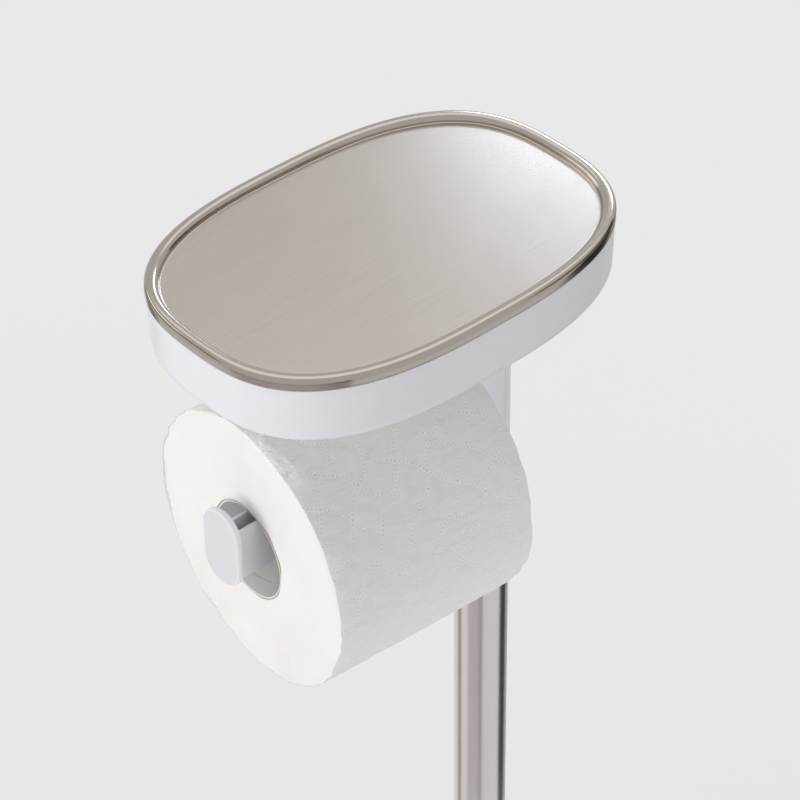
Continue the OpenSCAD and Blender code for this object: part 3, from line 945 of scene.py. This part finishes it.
class HOLDER_OT_base(bpy.types.Operator):
    """Press the steel cover of the base and finish the weight, pad and bolt under it"""

    bl_idname = "holder.base"
    bl_label = "Base"

    def execute(self, context):
        sizes = context.scene.holder_sizes
        low, high = COVER_LOW.z, COVER_HIGH.z
        radius = COVER_HIGH.x
        sheet = 1.0 * MM
        edge = 5.0 * MM
        flat = 4 * MM
        foot_edge = 0.15 * MM
        foot_break = 0.10 * MM
        shoulder = (radius - edge, high - edge)
        section = [(radius - edge - flat, high - sheet)]
        section += arc(shoulder, edge - sheet, 90, 0, 10)
        section += [(radius - sheet, low + foot_break), (radius - 0.85 * sheet, low)]
        section += [(radius - 0.15 * sheet, low), (radius, low + foot_edge)]
        section += [(radius, (low + high - edge) / 2)]
        section += arc(shoulder, edge, 0, 90, 16)
        section += [(radius - edge - flat / 2, high), (radius - edge - flat, high)]
        cover = lathed("steel_base_cover", section, 2 * sizes.round_steps)
        smooth(cover, 40.0)
        settle(cover, "stand", "brushed_steel", "steel_base", "base_cover")
        dress("black_iron", "base_weight")
        dress("soft_pad", "base_pad")
        dress("plated_zinc", "base_bolt", "base_washer")
        return {"FINISHED"}


# Toilet roll


def lattice_rows(sizes):
    """For each family of lines, how its count grows across and round the roll, and where it starts."""
    first = (math.cos(sizes.cell_lean), math.sin(sizes.cell_lean))
    second = (math.cos(sizes.cell_cross), math.sin(sizes.cell_cross))
    area = (first[0] * second[1] - first[1] * second[0]) * sizes.cell_side
    rows = []
    for across, around in ((second[1] / area, -second[0] / area), (-first[1] / area, first[0] / area)):
        rows.append((across, around, -across * LATTICE_START[0] - around * LATTICE_START[1]))
    return rows


def lattice_depth(sizes, around, across):
    """How deep the embossing lies at a place on the outside, from 0 on a cell to 1 on a line."""
    line_width = 1.3 * MM
    one, two = (across * a + around * b + c for a, b, c in lattice_rows(sizes))
    gap_two = two - sizes.cell_waves[0] * math.sin(math.pi * one + LATTICE_PHASES[0])
    gap_one = one - sizes.cell_waves[1] * math.sin(math.pi * two + LATTICE_PHASES[1])
    gap = min(abs(gap_one - round(gap_one)), abs(gap_two - round(gap_two))) * sizes.cell_side
    return math.exp(-((gap / line_width) ** 2))


def crumple(turn, position, half):
    """Where the outer sheet is crushed: a stretch of the front rim that faces the tub, from 0 to 1."""
    along = 1 - abs(turn - CRUMPLE_TURN) / CRUMPLE_REACH
    across = 1 - abs(position + half - 2 * MM) / (7 * MM)
    return max(0.0, min(along, 0.6)) * max(0.0, across) * 1.6


def ripple(spoke, fineness, along):
    """Smooth noise at a place of the roll, between about -1 and 1."""
    return noise.noise(Vector((spoke[0] * fineness, spoke[1] * fineness, along)))


def side_dent(sizes, turn, spoke, position, across):
    """How far the outer sheet lies inwards: its embossing, creases and crushed stretch."""
    dent = 0.16 * MM * lattice_depth(sizes, 2 * math.pi * sizes.roll_radius * turn, across)
    dent += 0.22 * MM * ripple(spoke, 11, position * 120)
    dent += 0.10 * MM * ripple(spoke, 26, position * 260)
    crushed = crumple(turn, position, sizes.roll_width / 2)
    return dent - 1.0 * MM * crushed * ripple(spoke, 24, position * 330)


def face_shift(spoke, radius, outward):
    """How far the wound edges of an end face stand out, before its rim is drawn in."""
    shift = 0.55 * MM * ripple(spoke, 2.2, radius * 60)
    shift += 0.25 * MM * ripple(spoke, 2.4, radius * 420)
    shift += 0.05 * MM * ripple(spoke, 30, radius * 500)
    return shift + 0.9 * MM * outward ** 5 * ripple(spoke, 4.2, radius * 90)


def paper_rows(sizes):
    """Section of the paper as rows of radius, position and way across, from bore to bore."""
    half = sizes.roll_width / 2
    radius = sizes.roll_radius
    bore = sizes.core_radius + CORE_FIT
    rim = 0.9 * MM
    face_rows, rim_rows, outer_rows, bore_rows = 22, 4, 104, 4
    rows = []
    for k in range(face_rows + 1):
        r = bore + (radius - rim - bore) * k / face_rows
        rows.append((r, -half, -half - (radius - r)))
    for x, y in arc((rim - half, radius - rim), rim, 180, 90, rim_rows)[1:-1]:
        rows.append((y, x, x))
    left = rows[: face_rows + rim_rows - 1]
    for k in range(outer_rows + 1):
        x = -half + rim + (2 * half - 2 * rim) * k / outer_rows
        rows.append((radius, x, x))
    rows += [(r, -x, -w) for r, x, w in reversed(left)]
    for k in range(1, bore_rows):
        rows.append((bore, half - 2 * half * k / bore_rows, half + radius))
    rows.append(rows[0])
    return rows


class HOLDER_OT_roll(bpy.types.Operator):
    """Wind the paper round its cardboard core"""

    bl_idname = "holder.roll"
    bl_label = "Toilet Roll"

    def execute(self, context):
        sizes = context.scene.holder_sizes
        rows = paper_rows(sizes)
        half = sizes.roll_width / 2
        radius_out = sizes.roll_radius
        bore = sizes.core_radius + CORE_FIT
        rim_draw = 9 * MM
        most_outwards = -0.5 * MM

        def place_paper(turn, row):
            radius, position, across = rows[row]
            angle = turn * 2 * math.pi
            spoke = (math.cos(angle), math.sin(angle))
            outward = max(0.0, min(1.0, (radius - bore) / (radius_out - bore)))
            dent = 0.45 * MM * (0.6 + ripple(spoke, 2.6, position * 16))
            edge = max(0.0, (abs(position) - half + rim_draw) / rim_draw)
            dent += 1.8 * MM * edge ** 2 * abs(ripple(spoke, 5, position * 25))
            dent += sizes.sheet_step * (0.5 - turn)
            shift = 0.0
            if abs(position) < half - 0.5 * MM and radius > radius_out - 1 * MM:
                dent += side_dent(sizes, turn, spoke, position, across)
            else:
                dent -= 1.0 * MM * crumple(turn, position, half) * ripple(spoke, 30, position * 330)
                shift = face_shift(spoke, radius, outward)
                shift -= math.copysign(1.1 * MM, position) * outward ** 7
            radius -= max(dent, most_outwards) * outward ** 3
            return radius, position + shift, 2 * math.pi * radius_out, across

        paper = wrapped("paper_roll", len(rows) - 1, place_paper, turns=440)
        smooth(paper, 60.0)
        settle(paper, "roll", "paper", "embossed_paper", "roll_paper")

        outer = sizes.core_radius
        inner = outer - sizes.core_board
        lip = 0.15 * MM
        bore_rows = 12
        core_rows = [
            (inner + lip, -half), (outer - lip, -half), (outer, -half + lip), (outer, half - lip),
            (outer - lip, half), (inner + lip, half), (inner, half - lip),
        ]
        core_rows += [(inner, half - 2 * half * k / bore_rows) for k in range(1, bore_rows)]
        core_rows += [(inner, lip - half), (inner + lip, -half)]

        def place_core(turn, row):
            radius, position = core_rows[row]
            across = position
            if radius > inner:
                across = math.copysign(half + radius - inner, position)
            return radius, position, 2 * math.pi * outer, across

        core = wrapped("cardboard_core", len(core_rows) - 1, place_core, turns=128)
        smooth(core, 40.0)
        settle(core, "roll", "cardboard", "wound_board", "roll_core")
        return {"FINISHED"}


# Stage


CAMERA_AZIMUTH = -41.05
CAMERA_ELEVATION = 39.23
CAMERA_ROLL = -0.87
CAMERA_DISTANCE = 1.21109
CAMERA_SHIFT = (0.00648, -0.06135)
FOCAL_PIXELS = 3097.5
IMAGE_PIXELS = 800
SENSOR = 36.0


def camera_axes():
    """Right, up and back of the camera in the photograph."""
    a = math.radians(CAMERA_AZIMUTH)
    e = math.radians(CAMERA_ELEVATION)
    r = math.radians(CAMERA_ROLL)
    back = Vector((math.sin(a) * math.cos(e), -math.cos(a) * math.cos(e), math.sin(e)))
    level = Vector((math.cos(a), math.sin(a), 0.0))
    rise = back.cross(level)
    right = level * math.cos(r) + rise * math.sin(r)
    up = rise * math.cos(r) - level * math.sin(r)
    return right, up, back


def add_softbox(name, location, aim, size, power, colour=(1.0, 1.0, 1.0), panel=False):
    """A rectangular area lamp that faces a point.

    A lamp lights the holder and stays out of its reflections. A panel does the reverse.
    """
    lamp = bpy.data.lights.new(name, "AREA")
    lamp.shape = "RECTANGLE"
    lamp.size, lamp.size_y = size
    lamp.energy = power
    lamp.color = colour
    holder = bpy.data.objects.new(name, lamp)
    bpy.context.scene.collection.objects.link(holder)
    holder.location = location
    holder.rotation_mode = "QUATERNION"
    holder.rotation_quaternion = (Vector(aim) - Vector(location)).to_track_quat("-Z", "Y")
    holder.visible_camera = False
    holder.visible_glossy = panel
    holder.visible_diffuse = not panel


def add_flag(name, around, turn, width, left, right, distance=0.25, low=0.0, high=0.58):
    """A standing card that only reflections see, turned from the camera's side towards its right.

    Its tone runs from the left colour to the right one, as the steel shows it.
    """
    aside, _, back = camera_axes()
    level = Vector((back.x, back.y, 0.0)).normalized()
    aside = Vector((aside.x, aside.y, 0.0)).normalized()
    toward = level * math.cos(math.radians(turn)) + aside * math.sin(math.radians(turn))
    deselect_everything()
    bpy.ops.mesh.primitive_plane_add(
        size=1.0, location=around + toward * distance + Vector((0.0, 0.0, (low + high) / 2)),
        rotation=(math.pi / 2, 0.0, math.atan2(toward.y, toward.x) + math.pi / 2),
    )
    flag = name_piece(name)
    flag.scale = (width, high - low, 1.0)
    made = Finish(name)
    along = made.parts(made.node("TexCoord", out="Object"))[0]
    tone = made.blend(made.ramp(along, -0.5, 0.5), rgba(left), rgba(right))
    flag.data.materials.append(made.surface(Base_Color=tone, Roughness=0.9))
    flag.visible_camera = False
    flag.visible_diffuse = False
    flag.visible_shadow = False


def lay_floor(colours):
    """Lays the pale floor, which fades into the backdrop some way from the holder."""
    fade_start, fade_end = 0.38, 0.85
    deselect_everything()
    bpy.ops.mesh.primitive_plane_add(size=14.0, location=(0.0, 0.0, 0.0))
    floor = name_piece("pale_floor")
    made = Finish("pale_floor")
    floor.data.materials.append(
        made.surface(Base_Color=rgba(colours.backdrop), Roughness=0.9, Specular_IOR_Level=0.1)
    )
    x, y, _ = made.parts(made.place())
    far = made.ramp((x * x + y * y).root(), fade_start, fade_end)
    made.fade(far * made.watched(), rgba(colours.backdrop))


def light_surroundings(scene):
    """Gives the world a plain warm light, behind a backdrop that is paler to look at."""
    sky = Finish("studio", world=True)
    scene.world = sky.owner
    light = sky.node("Background", Color=rgba((0.985, 0.965, 0.94)), Strength=0.415)
    seen = sky.node("Background", Color=rgba(scene.holder_colours.backdrop), Strength=1.0)
    sky.close(sky.node("MixShader", numbered={0: sky.watched(), 1: light, 2: seen}))


def hang_lamps():
    """Hangs the soft lamps, and the dim panels that only the steel shows."""
    tray = Vector((0.0, 0.0, TRAY_HIGH.z))
    add_softbox("key_softbox", (-1.9, 0.1, 1.05), tray, (1.1, 1.1), 19.9, (1.0, 0.99, 0.985))
    add_softbox("top_softbox", (0.4, 0.75, 2.7), (0.3, 0.6, 0.0), (1.8, 1.8), 26.0)
    add_softbox("roof_panel", (0.66, 0.75, 2.7), tray, (2.6, 1.7), 9.5, panel=True)
    add_softbox("window_panel", (-0.78, 1.4, 0.98), tray, (1.1, 0.6), 2.7, panel=True)
    add_softbox("fill_softbox", (0.2, -1.5, 0.14), (0.0, 0.0, 0.5), (1.3, 0.24), 4.0)
    add_softbox("back_softbox", (1.372, 0.925, 1.346), tray, (0.69, 0.68), 4.6, (1.0, 0.97, 0.95))
    glow = (0.68, 0.78, 1.0)
    add_softbox("glow_strip", (1.337, 0.880, 1.460), tray, (0.70, 0.24), 5.2, glow, panel=True)
    add_softbox("side_softbox", (2.0, -0.18, 0.8), tray, (0.8, 0.8), 6.0)


def stand_cards():
    """Stands the flags, cards round the pole and the tray, for the dark and warm bands in their steel."""
    pole = Vector(((POLE_LOW.x + POLE_HIGH.x) / 2, 0.0, 0.0))
    add_flag("dark_card_right", pole, 106.0, 0.182, (0.03, 0.03, 0.033), (0.02, 0.02, 0.018))
    add_flag("grey_card_right", pole, 146.0, 0.172, (0.50, 0.49, 0.47), (0.50, 0.49, 0.47))
    add_flag("brown_card_left", pole, -101.0, 0.085, (0.36, 0.29, 0.22), (0.40, 0.33, 0.26))
    add_flag("grey_card_left", pole, -34.0, 0.205, (0.70, 0.655, 0.65), (0.73, 0.69, 0.70))
    add_flag("grey_card_front", pole, -4.0, 0.079, (0.71, 0.67, 0.68), (0.30, 0.28, 0.29))

    tray = Vector((0.0, 0.0, 0.0))
    distance, low = 0.30, 0.59
    dark, brown = (0.03, 0.028, 0.025), (0.50, 0.41, 0.35)
    add_flag("dark_card_tray", tray, 98.0, 0.26, (0.40, 0.36, 0.32), dark, distance, low, 0.74)
    add_flag("brown_card_tray", tray, -92.0, 0.30, brown, brown, distance, low, 0.68)


def set_camera(scene):
    """Sets the camera where the photograph was taken from."""
    right, up, back = camera_axes()
    lens = bpy.data.cameras.new("photo_camera")
    lens.sensor_width = SENSOR
    lens.lens = FOCAL_PIXELS / IMAGE_PIXELS * SENSOR
    lens.clip_start = 0.05
    lens.clip_end = 30.0
    camera = bpy.data.objects.new("photo_camera", lens)
    scene.collection.objects.link(camera)
    spot = Vector((0.0, 0.0, tray_floor(scene.holder_sizes))) + back * CAMERA_DISTANCE
    spot += right * CAMERA_SHIFT[0] + up * CAMERA_SHIFT[1]
    turn = Matrix((right, up, back)).transposed()
    camera.matrix_world = Matrix.Translation(spot) @ turn.to_4x4()
    scene.camera = camera


class HOLDER_OT_stage(bpy.types.Operator):
    """Lay the pale floor, hang the lamps and set up the camera"""

    bl_idname = "holder.stage"
    bl_label = "Stage"

    def execute(self, context):
        context.scene.view_settings.view_transform = "Standard"
        lay_floor(context.scene.holder_colours)
        light_surroundings(context.scene)
        hang_lamps()
        stand_cards()
        set_camera(context.scene)
        return {"FINISHED"}


class HOLDER_PT_panel(bpy.types.Panel):
    """Lists the steps that build the holder"""

    bl_label = "Roll Holder"
    bl_idname = "HOLDER_PT_panel"
    bl_space_type = "VIEW_3D"
    bl_region_type = "UI"
    bl_category = "Roll Holder"

    def draw(self, context):
        for operator in OPERATORS:
            self.layout.operator(operator.bl_idname)


OPERATORS = (
    HOLDER_OT_stage, HOLDER_OT_tray, HOLDER_OT_tub, HOLDER_OT_column,
    HOLDER_OT_arm, HOLDER_OT_pole, HOLDER_OT_base, HOLDER_OT_roll,
)
CLASSES = (HolderSizes, HolderColours, *OPERATORS, HOLDER_PT_panel)


def register():
    """Adds the classes and the two groups of properties to Blender."""
    for cls in CLASSES:
        bpy.utils.register_class(cls)
    bpy.types.Scene.holder_sizes = bpy.props.PointerProperty(type=HolderSizes)
    bpy.types.Scene.holder_colours = bpy.props.PointerProperty(type=HolderColours)


def unregister():
    """Takes them out again."""
    del bpy.types.Scene.holder_colours
    del bpy.types.Scene.holder_sizes
    for cls in reversed(CLASSES):
        bpy.utils.unregister_class(cls)


def main():
    register()
    bpy.ops.holder.stage()
    bpy.ops.holder.tray()
    bpy.ops.holder.tub()
    bpy.ops.holder.column()
    bpy.ops.holder.arm()
    bpy.ops.holder.pole()
    bpy.ops.holder.base()
    bpy.ops.holder.roll()


if __name__ == "__main__":
    main()
